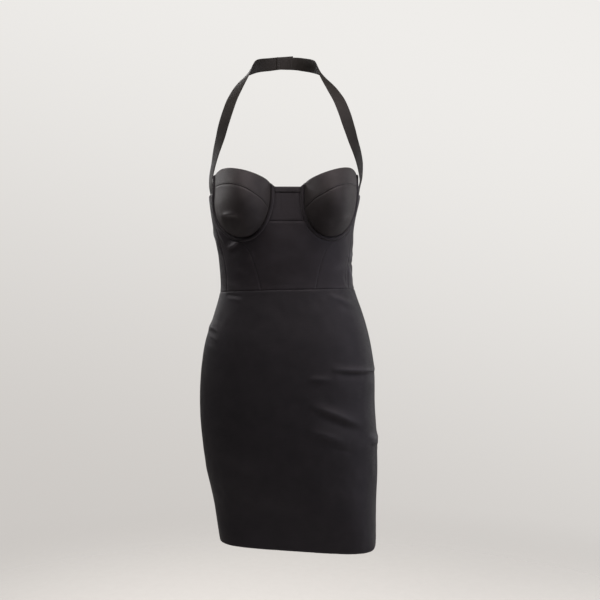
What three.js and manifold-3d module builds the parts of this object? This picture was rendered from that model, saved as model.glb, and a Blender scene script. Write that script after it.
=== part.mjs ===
// A black bodycon dress with wired cups and a halter strap, in the hollow form that it takes when worn.
// Units are millimetres, +Z is up and the front of the dress faces -Y. Left and right are the wearer's,
// so the left side is +X. The pieces are modelled in a body frame whose zero is at the waist seam, on
// the plane of the side seams. The exported group moves that frame so that its origin is on the inside
// of the halter at the back of the neck, where the dress is held.
import * as THREE from 'three';
import { mergeVertices } from 'three/addons/utils/BufferGeometryUtils.js';
import Module from 'manifold-3d';

// Driving dimensions
const clothThick = 1.5; // shell cloth with its fused backing
const hemThick = 2.6; // cloth turned up double at the hem
const hemDepth = 26;
const hemZ = -466;
const seamGap = 0.3;
const chordSlack = 0.04; // straight facets cut the corners of a curved seam by about this much
const strapWidth = 25;
const strapThick = 1.4;
const goreBandDeep = 10;
const goreBandThick = 1.2;
const neckHold = new THREE.Vector3(-5, 79.3, 455);

const cup = {
  middle: 79, // from the centre front to the middle of the cup's root
  rootZ: 165, // below this height the root is a half ellipse, above it the sides run straight up
  wireIn: 56, wireOut: 56, wireDrop: 78, // outer edge of the wire casing
  rootIn: 48, rootOut: 52.5, rootDrop: 70, // inner edge of the casing, where the cup starts
  deep: 55, // how far the cup stands forward of the ribs
  fade: 90, // height over which the cup would run out above rootZ
  fullness: 0.85,
  outward: 0.25, // leans the fullest point towards the arm
};
// The casing runs from the neckline beside the gore (0), down round the cup and up to the arm (1).
// These are the shares of that run at which something else starts or ends.
const casingCuts = {
  goreEnd: 0.08, // the straight stretch beside the gore ends here
  seamIn: 0.147, // the cup seam meets the casing
  goreFoot: 0.219,
  frontSeam: 0.477,
  sideSeam: 0.72,
  armStart: 0.84, // the straight stretch towards the arm starts here
  armTop: 0.888, // the side panel's top edge
  seamOut: 0.919,
};
const backFall = { drop: 28, power: 1.4 }; // the top edge falls from the arm to the zip
const backSeam = 118; // degrees round from the centre front, where the side panel meets the back

// A table has named columns, and each row is one section, fold or point.
function table(columns, ...rows) {
  return rows.map((row) => Object.fromEntries(columns.map((name, i) => [name, row[i]])));
}

// Rings round the body. half is half the width, ahead and behind are the depths from the side seams,
// square is the exponent of the outline (2 is an ellipse), turn is how many degrees the front is
// turned towards +X, and rise is how far the ring's +X side is lifted.
const rings = table(
  ['z', 'middle', 'half', 'ahead', 'behind', 'square', 'turn', 'rise'],
  [250, -6, 142, 79, 94, 2.3, 4.5, 2.4],
  [215, -6, 143.5, 84, 97, 2.3, 4.5, 2.4],
  [176, -6.2, 143.2, 88, 99, 2.3, 4.5, 1],
  [134, -8, 136, 91, 95, 2.3, 4.5, 1],
  [110, -7.5, 132, 92, 90, 2.25, 4.2, 1.5],
  [88, -5.8, 129.7, 92, 86, 2.2, 3.8, 2],
  [65, -4.7, 126.6, 90.5, 81, 2.2, 3.4, 2],
  [20, -2.3, 125.2, 88, 76, 2.15, 2.6, 3],
  [0, -1.3, 127, 88, 76.5, 2.15, 2.2, 3],
  [-48, 0.5, 142, 93, 86, 2.2, 1, 2],
  [-94, -0.5, 155.4, 98.5, 102, 2.2, -0.4, 1],
  [-150, -0.6, 164, 102, 118, 2.2, -2, 0],
  [-210, -1.4, 165.4, 103.5, 119, 2.3, -3.6, -0.5],
  [-265, 1.8, 165.4, 103.5, 108, 2.45, -5, -1],
  [-333, 7.4, 161.6, 101.5, 97, 2.6, -6.5, -2],
  [-402, 14.7, 151.4, 97.5, 93, 3.2, -8.6, -4.9],
  [-466, 21.4, 144.8, 94.4, 91, 4.3, -6, -5],
);

// Edges and seams of the front, as distance from the centre front and height.
const neckline = table(['x', 'z'],
  [22, 184], [36, 195.5], [52, 202.5], [70, 208.5], [90, 214.5], [108, 218.5], [122, 218.3], [136, 211]);
const cupSeamMiddle = table(['x', 'z'], [45, 158], [62, 168.5], [80, 177.5], [98, 184], [116, 188]);
const frontSeam = table(['z', 'x'], [0, 49], [28, 55], [52, 62], [71, 70]);
const sideSeam = table(['z', 'x'], [0, 111.5], [30, 111.5], [58, 114.5], [92, 121.5]);

// The largest folds, each along a line on the front as it is seen from ahead. reach is its
// half-width and out is how far it stands out, less than nothing for a trough.
const folds = table(
  ['x0', 'z0', 'x1', 'z1', 'reach', 'out'],
  [82, -142, 167, -147, 7, 2.2],
  [90, -153, 167, -158, 6, -1.2],
  [40, -159, 88, -161, 7, 1.4],
  [44, -202, 142, -242, 9, 3],
  [56, -222, 142, -258, 8, -2],
  [42, -248, 118, -275, 10, 2],
  [150, -268, 172, -292, 15, 2.4],
  [72, -8, 124, -30, 8, 1.6],
  [-158, -70, -128, -60, 8, 1.6],
  [-108, 124, -80, 122, 9, -3],
  [-112, 136, -78, 134, 7, 1.2],
);

// A halter strap runs from inside the bodice, up the chest and round the neck. facing is where its
// outer face looks, in degrees from straight ahead towards that side, and lean is how far up it looks.
// Its foot lies on the cloth's surface, sunk behind the side panel's top edge.
const strapFoot = table(['angle', 'z', 'sunk'], [80.5, 166, 4.6], [79.8, 178, 4.4], [78.9, 192, 2.4]);
const rightStrap = table(
  ['x', 'y', 'z', 'facing', 'lean'],
  [-142.8, -32.2, 210, 70, 0],
  [-137.2, -43.5, 230, 66, 2],
  [-131.2, -51.5, 252, 55, 5],
  [-123.2, -55.5, 279, 41, 9],
  [-116, -54, 307, 33, 15],
  [-109.3, -48, 331, 31, 24],
  [-102.8, -37, 354, 32, 34],
  [-93.5, -22, 378, 38, 42],
  [-81.5, -2, 404, 56, 38],
  [-71.5, 21, 425, 82, 22],
  [-59, 48, 441, 112, 8],
  [-36.7, 70.7, 450.5, 140, 2],
  [-21.8, 79.2, 454.6, 160, 0],
  [-5, 82.3, 457, 180, 0],
  [9, 80.3, 457.4, 196.6, 0],
);
const leftStrap = table(
  ['x', 'y', 'z', 'facing', 'lean'],
  [137.4, -17.5, 210, 73, 0],
  [135.2, -31, 230, 59, 2],
  [129, -43.5, 252, 48, 5],
  [120.2, -52, 276, 37, 8],
  [111.3, -54, 303, 26, 12],
  [104, -49.5, 327, 22, 16],
  [94.8, -38, 353, 22, 24],
  [82.8, -22, 377, 30, 37],
  [68.6, -2, 403, 54, 38],
  [58.5, 20, 425, 86, 22],
  [47, 48, 440, 114, 8],
  [25.2, 69, 450, 140, 2],
  [11, 77.2, 453.6, 160, 0],
  [-5, 80, 455, 180, 0],
  [-23, 76.4, 454.4, 202.5, 0],
);

// Materials, from the colours and gloss of the real cloth and metal
const cloth = new THREE.MeshStandardMaterial({ color: 0x242226, roughness: 0.62, metalness: 0 });
const lowerCloth = new THREE.MeshStandardMaterial({ color: 0x1f1d20, roughness: 0.62, metalness: 0 });
const strapCloth = new THREE.MeshStandardMaterial({ color: 0x2a2826, roughness: 0.55, metalness: 0 });
const zipMetal = new THREE.MeshStandardMaterial({ color: 0x1b1b1c, roughness: 0.35, metalness: 0.6 });

// Curves

// All the columns of a table at one value of its key column, along smooth curves through its rows.
function smooth(rows, key, at) {
  const rising = rows[rows.length - 1][key] > rows[0][key];
  const ends = [rows[0][key], rows[rows.length - 1][key]];
  const value = THREE.MathUtils.clamp(at, Math.min(...ends), Math.max(...ends));
  let i = 0;
  while (i < rows.length - 2 && (rising ? value > rows[i + 1][key] : value < rows[i + 1][key])) i += 1;
  const [a, b] = [rows[i], rows[i + 1]];
  const before = rows[Math.max(i - 1, 0)];
  const after = rows[Math.min(i + 2, rows.length - 1)];
  const span = b[key] - a[key];
  const t = (value - a[key]) / span;
  const found = {};
  for (const name of Object.keys(a)) {
    const slopeA = (b[name] - before[name]) / (b[key] - before[key]);
    const slopeB = (after[name] - a[name]) / (after[key] - a[key]);
    found[name] = (2 * t ** 3 - 3 * t ** 2 + 1) * a[name] + (t ** 3 - 2 * t ** 2 + t) * span * slopeA
      + (3 * t ** 2 - 2 * t ** 3) * b[name] + (t ** 3 - t ** 2) * span * slopeB;
  }
  return found;
}

const mix = THREE.MathUtils.lerp;
const degrees = THREE.MathUtils.radToDeg;
const radians = THREE.MathUtils.degToRad;

// How far a cup stands forward of the ribs at a place on the front.
function cupDepth(x, z) {
  const across = Math.abs(x) - cup.middle;
  const p = across / (across < 0 ? cup.rootIn : cup.rootOut);
  const q = Math.max(0, (cup.rootZ - z) / cup.rootDrop);
  const inside = 1 - p * p - q * q;
  if (inside <= 0) return 0;
  const above = Math.max(0, (z - cup.rootZ) / cup.fade);
  return cup.deep * inside ** cup.fullness * (1 - above * above) * (1 + cup.outward * p);
}

// How far the folds move the cloth out at a place on the front.
function foldOut(x, z) {
  let out = 0;
  for (const fold of folds) {
    const [dx, dz] = [fold.x1 - fold.x0, fold.z1 - fold.z0];
    const along = ((x - fold.x0) * dx + (z - fold.z0) * dz) / (dx * dx + dz * dz);
    if (along <= 0 || along >= 1) continue;
    const off = Math.hypot(x - fold.x0 - along * dx, z - fold.z0 - along * dz);
    out += fold.out * Math.sqrt(Math.sin(Math.PI * along)) * Math.exp(-((off / fold.reach) ** 2));
  }
  return out;
}

// A point of the cloth's outer face, at an angle round from the centre front and a height.
function clothPoint(angle, z, onRibs = false) {
  const ring = smooth(rings, 'z', z);
  const side = Math.sin(radians(angle));
  const isFront = Math.abs(angle) <= 90;
  const x = ring.half * side;
  const flat = Math.max(0, 1 - Math.abs(side) ** ring.square) ** (1 / ring.square);
  const out = isFront ? foldOut(x, z) : 0;
  const deep = isFront ? -ring.ahead * flat - (onRibs ? 0 : cupDepth(x, z)) : ring.behind * flat;
  const facing = new THREE.Vector2(x / ring.half ** 2, deep / (isFront ? ring.ahead : ring.behind) ** 2);
  facing.setLength(out);
  const place = new THREE.Vector2(x + facing.x, deep + facing.y);
  place.rotateAround(new THREE.Vector2(), radians(ring.turn));
  return new THREE.Vector3(ring.middle + place.x, place.y, z + ring.rise * side);
}

const angleAt = (x, z) => degrees(Math.asin(THREE.MathUtils.clamp(x / smooth(rings, 'z', z).half, -1, 1)));

// Where the surface faces, out of the body. On the ribs the rise of a cup is left out.
function outward(angle, z, onRibs) {
  const [turn, rise] = [0.7, 1];
  const at = (a, h) => clothPoint(a, h, onRibs);
  const round = at(angle + turn, z).sub(at(angle - turn, z));
  const up = at(angle, z + rise).sub(at(angle, z - rise));
  return round.cross(up).normalize();
}

// A point on the wire casing's outer edge (across = 0) or inner edge (across = 1).
function casingPlace(along, across) {
  const inward = mix(cup.wireIn, cup.rootIn, across);
  const outwardReach = mix(cup.wireOut, cup.rootOut, across);
  const drop = mix(cup.wireDrop, cup.rootDrop, across);
  const { goreEnd, armStart } = casingCuts;
  if (along < goreEnd) {
    const x = cup.middle - inward;
    return { x, z: mix(smooth(neckline, 'x', x).z, cup.rootZ, along / goreEnd) };
  }
  if (along > armStart) {
    const x = cup.middle + outwardReach;
    return { x, z: mix(cup.rootZ, smooth(neckline, 'x', x).z, (along - armStart) / (1 - armStart)) };
  }
  const round = Math.PI * (along - goreEnd) / (armStart - goreEnd);
  const reach = round < Math.PI / 2 ? inward : outwardReach;
  return { x: cup.middle - reach * Math.cos(round), z: cup.rootZ - drop * Math.sin(round) };
}

// Walls

// A closed mesh from two grids of points that face each other, the first one outside.
function closedWall(outer, inner) {
  const [rows, columns] = [outer.length, outer[0].length];
  const points = [...outer.flat(), ...inner.flat()];
  const index = [];
  const at = (i, j, layer) => layer * rows * columns + i * columns + j;
  const quad = (a, b, c, d) => index.push(a, b, c, a, c, d);
  for (let i = 0; i < rows - 1; i += 1) {
    for (let j = 0; j < columns - 1; j += 1) {
      quad(at(i, j, 0), at(i + 1, j, 0), at(i + 1, j + 1, 0), at(i, j + 1, 0));
      quad(at(i, j, 1), at(i, j + 1, 1), at(i + 1, j + 1, 1), at(i + 1, j, 1));
    }
    quad(at(i, 0, 1), at(i + 1, 0, 1), at(i + 1, 0, 0), at(i, 0, 0));
    quad(at(i, columns - 1, 0), at(i + 1, columns - 1, 0), at(i + 1, columns - 1, 1), at(i, columns - 1, 1));
  }
  for (let j = 0; j < columns - 1; j += 1) {
    quad(at(0, j, 0), at(0, j + 1, 0), at(0, j + 1, 1), at(0, j, 1));
    quad(at(rows - 1, j, 1), at(rows - 1, j + 1, 1), at(rows - 1, j + 1, 0), at(rows - 1, j, 0));
  }
  const geometry = new THREE.BufferGeometry();
  geometry.setAttribute('position', new THREE.Float32BufferAttribute(points.flatMap((p) => p.toArray()), 3));
  geometry.setIndex(index);
  geometry.computeVertexNormals();
  return geometry;
}

// Draws a grid's border in by half a seam gap, square to the border.
function partSeams(grid) {
  const last = [grid.length - 1, grid[0].length - 1];
  return grid.map((row, i) => row.map((point, j) => {
    const down = grid[Math.min(i + 1, last[0])][j].clone().sub(grid[Math.max(i - 1, 0)][j]);
    const across = row[Math.min(j + 1, last[1])].clone().sub(row[Math.max(j - 1, 0)]);
    const moved = point.clone();
    const middle = (k, end) => THREE.MathUtils.clamp(k, 1, end - 1);
    const inner = grid[middle(i, last[0])][middle(j, last[1])].clone().sub(point);
    const drawIn = (edge) => {
      const square = inner.clone().addScaledVector(edge, -inner.dot(edge) / edge.lengthSq());
      moved.add(square.setLength(seamGap / 2 + chordSlack));
    };
    if (i === 0 || i === last[0]) drawIn(across);
    if (j === 0 || j === last[1]) drawIn(down);
    return moved;
  }));
}

// A panel of cloth. place(s, t) gives {angle, z}, with s across from -X to +X and t downwards.
// face and back are how far its two faces stand off the cloth's outer face, and may be functions.
function panel(name, material, columns, rows, place, { face = 0, back = -clothThick, onRibs = true } = {}) {
  const places = Array.from({ length: rows + 1 }, (_, i) => (
    Array.from({ length: columns + 1 }, (__, j) => place(j / columns, i / rows))));
  const grid = partSeams(places.map((row) => row.map(({ angle, z }) => clothPoint(angle, z))));
  const normals = places.map((row) => row.map(({ angle, z }) => outward(angle, z, onRibs)));
  const layer = (off) => grid.map((row, i) => row.map((point, j) => {
    const by = typeof off === 'function' ? off(j / columns, i / rows, places[i][j]) : off;
    return point.clone().addScaledVector(normals[i][j], by);
  }));
  const mesh = new THREE.Mesh(closedWall(layer(face), layer(back)), material);
  mesh.name = name;
  return mesh;
}

// The same panel on the other side of the body: s runs the other way and the angle changes sign.
const mirrored = (place) => (s, t) => {
  const found = place(1 - s, t);
  return { angle: -found.angle, z: found.z };
};

// Both sides of a panel, from the place function of the wearer's left one, which is on +X.
function pair(name, material, columns, rows, place, options) {
  return [
    panel(`${name}_left`, material, columns, rows, place, options),
    panel(`${name}_right`, material, columns, rows, mirrored(place), options),
  ];
}

// A place function from the four borders of a panel, each a function of its share that gives {x, z}
// or {angle, z}. The points between follow the borders evenly.
function within(top, foot, left, right) {
  const flat = (place) => [place.angle ?? angleAt(place.x, place.z), place.z];
  return (s, t) => {
    const ends = [top(0), top(1), foot(0), foot(1)].map(flat);
    const sides = [top(s), foot(s), left(t), right(t)].map(flat);
    const value = (k) => mix(sides[0][k], sides[1][k], t) + mix(sides[2][k], sides[3][k], s)
      - mix(mix(ends[0][k], ends[1][k], s), mix(ends[2][k], ends[3][k], s), t);
    return { angle: value(0), z: value(1) };
  };
}

// A border along the casing between two shares of its run.
const casingBorder = (from, to, across) => (share) => casingPlace(mix(from, to, share), across);

// A border in stretches, each given as its border function and its number of rows or columns.
function stretches(...parts) {
  const all = parts.reduce((sum, [, count]) => sum + count, 0);
  return (share) => {
    let left = share * all;
    for (const [border, count] of parts) {
      if (left <= count + 1e-9) return border(left / count);
      left -= count;
    }
    return parts[parts.length - 1][0](1);
  };
}

// Cups
const cuts = casingCuts;
const cupSeam = [casingPlace(cuts.seamIn, 1), ...cupSeamMiddle, casingPlace(cuts.seamOut, 1)];

function cupSeamBorder(share) {
  const { x, z } = smooth(cupSeam, 'x', mix(cupSeam[0].x, cupSeam[cupSeam.length - 1].x, share));
  return { x, z };
}

function cupTopBorder(share) {
  const x = mix(casingPlace(0, 1).x, casingPlace(1, 1).x, share);
  return { x, z: smooth(neckline, 'x', x).z };
}

const upperCupPlace = within(
  cupTopBorder, cupSeamBorder,
  casingBorder(0, cuts.seamIn, 1), casingBorder(1, cuts.seamOut, 1),
);

// The lower cup's two corners are cut off a little along the casing, so that its rows have a length.
const [lowerStart, lowerEnd] = [0.21, 0.86];
const lowerCupPlace = (s, t) => within(
  cupSeamBorder, casingBorder(lowerStart, lowerEnd, 1),
  casingBorder(cuts.seamIn, lowerStart, 1), casingBorder(cuts.seamOut, lowerEnd, 1),
)(s, 1 - (1 - t) ** 1.3); // rows crowd towards the wire, where the cup is steepest

const casingPanelPlace = (s, t) => {
  const { x, z } = casingPlace(s, 1 - t);
  return { angle: angleAt(x, z), z };
};

// Bodice below the cups
const goreFoot = casingPlace(cuts.goreFoot, 0);
const frontTop = casingPlace(cuts.frontSeam, 0);
const sideTop = casingPlace(cuts.sideSeam, 0);
const armTop = casingPlace(cuts.armTop, 0);
const flipped = (border) => (share) => {
  const { x, z } = border(share);
  return { x: -x, z };
};
const straight = (a, b) => (share) => ({ x: mix(a.x, b.x, share), z: mix(a.z, b.z, share) });

function gorePlace(s, t) {
  const { x, z } = casingPlace(mix(0, cuts.goreFoot, t), 0);
  return { angle: angleAt(mix(-x, x, s), z), z };
}

function goreBandPlace(s, t) {
  const { x, z } = casingPlace(0, 0);
  const height = z - goreBandDeep * t;
  return { angle: angleAt(mix(-1, 1, s) * (x - seamGap), height), z: height };
}

// A seam from the casing's outer edge down to the waist.
function seamBorder(top, rows) {
  const all = [...rows, top];
  return (share) => {
    const { x, z } = smooth(all, 'z', mix(top.z, 0, share));
    return { x, z };
  };
}
const frontSeamBorder = seamBorder(frontTop, frontSeam);
const sideSeamBorder = seamBorder(sideTop, sideSeam);

const underCup = casingBorder(cuts.goreFoot, cuts.frontSeam, 0);
const [cupColumns, goreColumns] = [12, 4];
const centreFrontPlace = within(
  stretches(
    [flipped((share) => underCup(1 - share)), cupColumns],
    [straight({ x: -goreFoot.x, z: goreFoot.z }, goreFoot), goreColumns],
    [underCup, cupColumns],
  ),
  straight(flipped(frontSeamBorder)(1), frontSeamBorder(1)),
  flipped(frontSeamBorder), frontSeamBorder,
);

const sideFrontPlace = within(
  casingBorder(cuts.frontSeam, cuts.sideSeam, 0), straight(frontSeamBorder(1), sideSeamBorder(1)),
  frontSeamBorder, sideSeamBorder,
);

const armAngle = angleAt(armTop.x, armTop.z);
const backEdge = (angle) => ({
  angle,
  z: armTop.z - backFall.drop * ((angle - armAngle) / (180 - armAngle)) ** backFall.power,
});
const upright = (angle) => (share) => ({ angle, z: mix(backEdge(angle).z, 0, share) });
const [armRows, seamRows] = [9, 9];
const sidePanelPlace = within(
  (share) => backEdge(mix(armAngle, backSeam, share)),
  (share) => ({ angle: mix(angleAt(sideSeamBorder(1).x, 0), backSeam, share), z: 0 }),
  stretches([casingBorder(cuts.armTop, cuts.sideSeam, 0), armRows], [sideSeamBorder, seamRows]),
  upright(backSeam),
);
const backPlace = within(
  (share) => backEdge(mix(backSeam, 180, share)), (share) => ({ angle: mix(backSeam, 180, share), z: 0 }),
  upright(backSeam), upright(180),
);

// Skirt
const skirtRows = table(['t', 'z'], [0, 0], [0.25, -130], [0.72, -300], [0.95, hemZ + hemDepth], [1, hemZ]);
const skirtZ = (t) => {
  const i = Math.min(skirtRows.findLastIndex((row) => row.t <= t), skirtRows.length - 2);
  const [a, b] = [skirtRows[i], skirtRows[i + 1]];
  return mix(a.z, b.z, (t - a.t) / (b.t - a.t));
};
const skirtBack = (s, t, { z }) => (z < hemZ + hemDepth + 0.5 ? -hemThick : -clothThick);

// Straps

// The strap's foot as rows of the strap's own table.
function footRows(sideSign) {
  return strapFoot.map(({ angle, z, sunk }) => {
    const look = outward(sideSign * angle, z, true);
    const at = clothPoint(sideSign * angle, z, true).addScaledVector(look, -sunk);
    return { x: at.x, y: at.y, z, facing: degrees(Math.atan2(sideSign * look.x, -look.y)), lean: 0 };
  });
}

// A flat band along a table of points, with its outer face looking the way that the table says.
function strap(name, freeRows, sideSign) {
  const steps = 60;
  const rows = [...footRows(sideSign), ...freeRows].map((row, i) => ({ ...row, at: i }));
  const read = (share) => smooth(rows, 'at', share * (rows.length - 1));
  const centres = Array.from({ length: steps + 1 }, (_, i) => {
    const { x, y, z } = read(i / steps);
    return new THREE.Vector3(x, y, z);
  });
  const layer = (off) => centres.map((centre, i) => {
    const { facing, lean } = read(i / steps);
    const [round, up] = [sideSign * radians(facing), radians(lean)];
    const look = new THREE.Vector3(
      Math.sin(round) * Math.cos(up), -Math.cos(round) * Math.cos(up), Math.sin(up));
    const along = centres[Math.min(i + 1, steps)].clone().sub(centres[Math.max(i - 1, 0)]).normalize();
    const across = along.clone().cross(look).normalize();
    const out = across.clone().cross(along).normalize();
    return [-0.5, 0, 0.5].map((share) => (
      centre.clone().addScaledVector(across, share * strapWidth).addScaledVector(out, off)));
  });
  const mesh = new THREE.Mesh(closedWall(layer(-strapThick / 2), layer(strapThick / 2)), strapCloth);
  mesh.name = name;
  return mesh;
}

// Zip
const zip = {
  top: 147, // the slider's top, just under the back edge
  slider: { wide: 5.2, deep: 1.8, tall: 9 },
  ear: { thick: 0.9, reach: 3.9, tall: 3.6 },
  pinRadius: 0.5,
  eye: { inner: 0.9, outer: 1.7, long: 2.2 },
  pull: { long: 22, wide: 5.4, thick: 1.2 },
  standOff: 0.5,
};

const wasm = await Module();
wasm.setup();

// A three.js geometry as a manifold solid, and back.
function solid(geometry) {
  const bare = geometry.clone();
  bare.deleteAttribute('normal');
  bare.deleteAttribute('uv');
  const merged = mergeVertices(bare, 1e-4);
  return new wasm.Manifold(new wasm.Mesh({
    numProp: 3,
    vertProperties: merged.attributes.position.array,
    triVerts: new Uint32Array(merged.index.array),
  }));
}

function fromSolid(made) {
  const mesh = made.getMesh();
  const geometry = new THREE.BufferGeometry();
  geometry.setAttribute('position', new THREE.BufferAttribute(mesh.vertProperties, 3));
  geometry.setIndex(new THREE.BufferAttribute(mesh.triVerts, 1));
  geometry.computeVertexNormals();
  return geometry;
}

// The slider, in its own frame: the pin's axis is X, the cloth is towards -Y and the top is +Z.
function sliderGeometry() {
  const { slider, ear, pinRadius } = zip;
  const pinY = slider.deep + ear.reach - ear.tall / 2;
  const body = new THREE.BoxGeometry(slider.wide, slider.deep, slider.tall);
  body.translate(0, slider.deep / 2, -slider.tall / 2 + ear.tall / 2);
  let made = solid(body);
  for (const side of [-1, 1]) {
    const lug = new THREE.BoxGeometry(ear.thick, ear.reach + 0.4, ear.tall);
    lug.translate(side * (slider.wide - ear.thick) / 2, slider.deep - 0.4 + (ear.reach + 0.4) / 2, 0);
    made = made.add(solid(lug));
  }
  const pin = new THREE.CylinderGeometry(pinRadius, pinRadius, slider.wide - ear.thick, 12);
  pin.rotateZ(Math.PI / 2);
  pin.translate(0, pinY, 0);
  return { geometry: fromSolid(made.add(solid(pin))), pinY };
}

// The pull, with its eye round the slider's pin at the frame's zero, hanging down.
function pullGeometry() {
  const { eye, pull } = zip;
  const ring = new THREE.Shape().absarc(0, 0, eye.outer, 0, 2 * Math.PI);
  ring.holes.push(new THREE.Path().absarc(0, 0, eye.inner, 0, 2 * Math.PI, true));
  const barrel = new THREE.ExtrudeGeometry(ring, { depth: eye.long, bevelEnabled: false, curveSegments: 10 });
  barrel.rotateY(Math.PI / 2);
  barrel.translate(-eye.long / 2, 0, 0);
  const start = -(eye.inner + eye.outer) / 2;
  const tab = new THREE.Shape();
  tab.moveTo(-eye.long / 2, start);
  tab.lineTo(-eye.long / 2, start - 2.5);
  tab.quadraticCurveTo(-pull.wide / 2, -pull.long * 0.45, -pull.wide / 2, -pull.long + pull.wide / 2);
  tab.absarc(0, -pull.long + pull.wide / 2, pull.wide / 2, Math.PI, 2 * Math.PI, false);
  tab.quadraticCurveTo(pull.wide / 2, -pull.long * 0.45, eye.long / 2, start - 2.5);
  tab.lineTo(eye.long / 2, start);
  tab.closePath();
  const flat = new THREE.ExtrudeGeometry(tab, { depth: pull.thick, bevelEnabled: false, curveSegments: 8 });
  flat.rotateX(Math.PI / 2);
  flat.translate(0, pull.thick / 2, 0);
  return fromSolid(solid(barrel).add(solid(flat)));
}

function zipGroup() {
  const ring = smooth(rings, 'z', zip.top);
  const { geometry, pinY } = sliderGeometry();
  const slider = new THREE.Mesh(geometry, zipMetal);
  slider.name = 'zip_slider';
  const pull = new THREE.Mesh(pullGeometry(), zipMetal);
  pull.name = 'zip_pull';
  pull.position.y = pinY;
  const made = new THREE.Group();
  made.add(slider, pull);
  made.position.copy(clothPoint(180, zip.top - zip.ear.tall / 2));
  made.rotation.z = radians(ring.turn);
  made.translateY(zip.standOff);
  return made;
}

// Assembly
const dress = new THREE.Group();
const crown = (s, t) => 0.5 + 1.2 * Math.sin(Math.PI * t) ** 0.7; // the casing is domed over its wire
const goreBandWall = { face: seamGap + goreBandThick, back: seamGap };
const skirtPlace = (from, to) => (s, t) => ({ angle: mix(from, to, s), z: skirtZ(t) });
const sideRows = armRows + seamRows;

dress.add(
  panel('gore', cloth, goreColumns, 8, gorePlace),
  panel('gore_band', cloth, goreColumns, 1, goreBandPlace, goreBandWall),
  ...pair('upper_cup', cloth, 24, 5, upperCupPlace, { onRibs: false }),
  ...pair('lower_cup', cloth, 24, 9, lowerCupPlace, { onRibs: false }),
  ...pair('wire_casing', cloth, 54, 3, casingPanelPlace, { face: crown }),
  panel('centre_front', cloth, 2 * cupColumns + goreColumns, seamRows, centreFrontPlace),
  ...pair('side_front', cloth, 12, seamRows, sideFrontPlace),
  ...pair('side_panel', cloth, 6, sideRows, sidePanelPlace),
  ...pair('back', cloth, 8, 9, backPlace),
  panel('skirt_front', lowerCloth, 34, 27, skirtPlace(-90, 90), { back: skirtBack }),
  ...pair('skirt_back', lowerCloth, 11, 27, skirtPlace(90, 180), { back: skirtBack }),
  strap('halter_right', rightStrap, -1),
  strap('halter_left', leftStrap, 1),
  zipGroup(),
);
dress.position.copy(neckHold).negate();

export default dress;
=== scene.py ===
import math

import bpy
import numpy as np
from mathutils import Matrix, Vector


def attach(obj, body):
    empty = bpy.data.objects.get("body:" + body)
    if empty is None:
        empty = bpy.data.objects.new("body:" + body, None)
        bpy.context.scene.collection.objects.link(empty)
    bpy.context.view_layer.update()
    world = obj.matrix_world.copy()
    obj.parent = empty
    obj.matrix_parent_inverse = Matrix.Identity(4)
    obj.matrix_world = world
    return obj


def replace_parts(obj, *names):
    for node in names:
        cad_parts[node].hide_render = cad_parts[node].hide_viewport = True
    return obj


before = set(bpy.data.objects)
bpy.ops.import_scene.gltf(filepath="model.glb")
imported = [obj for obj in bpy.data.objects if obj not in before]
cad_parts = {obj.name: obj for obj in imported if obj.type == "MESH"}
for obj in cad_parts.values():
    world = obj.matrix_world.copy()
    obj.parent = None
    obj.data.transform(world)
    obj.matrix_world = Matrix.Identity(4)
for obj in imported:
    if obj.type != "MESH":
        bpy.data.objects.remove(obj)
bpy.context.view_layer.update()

# Camera, studio light and floor
# The camera stands level with the hips, a step and a half away. A broad key light high in front gives
# the satin its sheen, a tall one lights the right side, a weak one the left, and three stand behind.


def linear(hex_code):
    """A linear colour with alpha from an sRGB hex code."""
    parts = [int(hex_code[i : i + 2], 16) / 255 for i in (1, 3, 5)]
    return [p / 12.92 if p <= 0.04045 else ((p + 0.055) / 1.055) ** 2.4 for p in parts] + [1.0]


def add_node(tree, kind, sockets=(), **settings):
    """Adds a node with its settings, and with a value or a link for each socket that is named."""
    node = tree.nodes.new(kind)
    for name, value in settings.items():
        setattr(node, name, value)
    for socket, value in dict(sockets).items():
        if isinstance(value, bpy.types.NodeSocket):
            tree.links.new(value, node.inputs[socket])
        else:
            node.inputs[socket].default_value = value
    return node


def empty_tree(owner):
    """The node tree of a new material or world, with nothing in it."""
    owner.use_nodes = True
    owner.node_tree.nodes.clear()
    return owner.node_tree


def blend(tree, share, first, second):
    """A colour between two hex codes."""
    colours = {0: share, "A": linear(first), "B": linear(second)}
    return add_node(tree, "ShaderNodeMix", colours, data_type="RGBA").outputs["Result"]


def rescale(tree, value, old, new, kind="LINEAR"):
    """A value moved from one range to another."""
    names = ("Value", "From Min", "From Max", "To Min", "To Max")
    sockets = dict(zip(names, (value, *old, *new)))
    return add_node(tree, "ShaderNodeMapRange", sockets, interpolation_type=kind).outputs[0]


def add_object(name, data):
    made = bpy.data.objects.new(name, data)
    bpy.context.scene.collection.objects.link(made)
    return made


lens = bpy.data.cameras.new("camera")
lens.lens, lens.sensor_width = 47.37, 36
camera = add_object("camera", lens)
camera.location = (0.0278, -1.5793, -0.473)
camera.rotation_euler = (math.radians(90), 0, 0)
bpy.context.scene.camera = camera
bpy.context.scene.view_settings.view_transform = "Standard"

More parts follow.
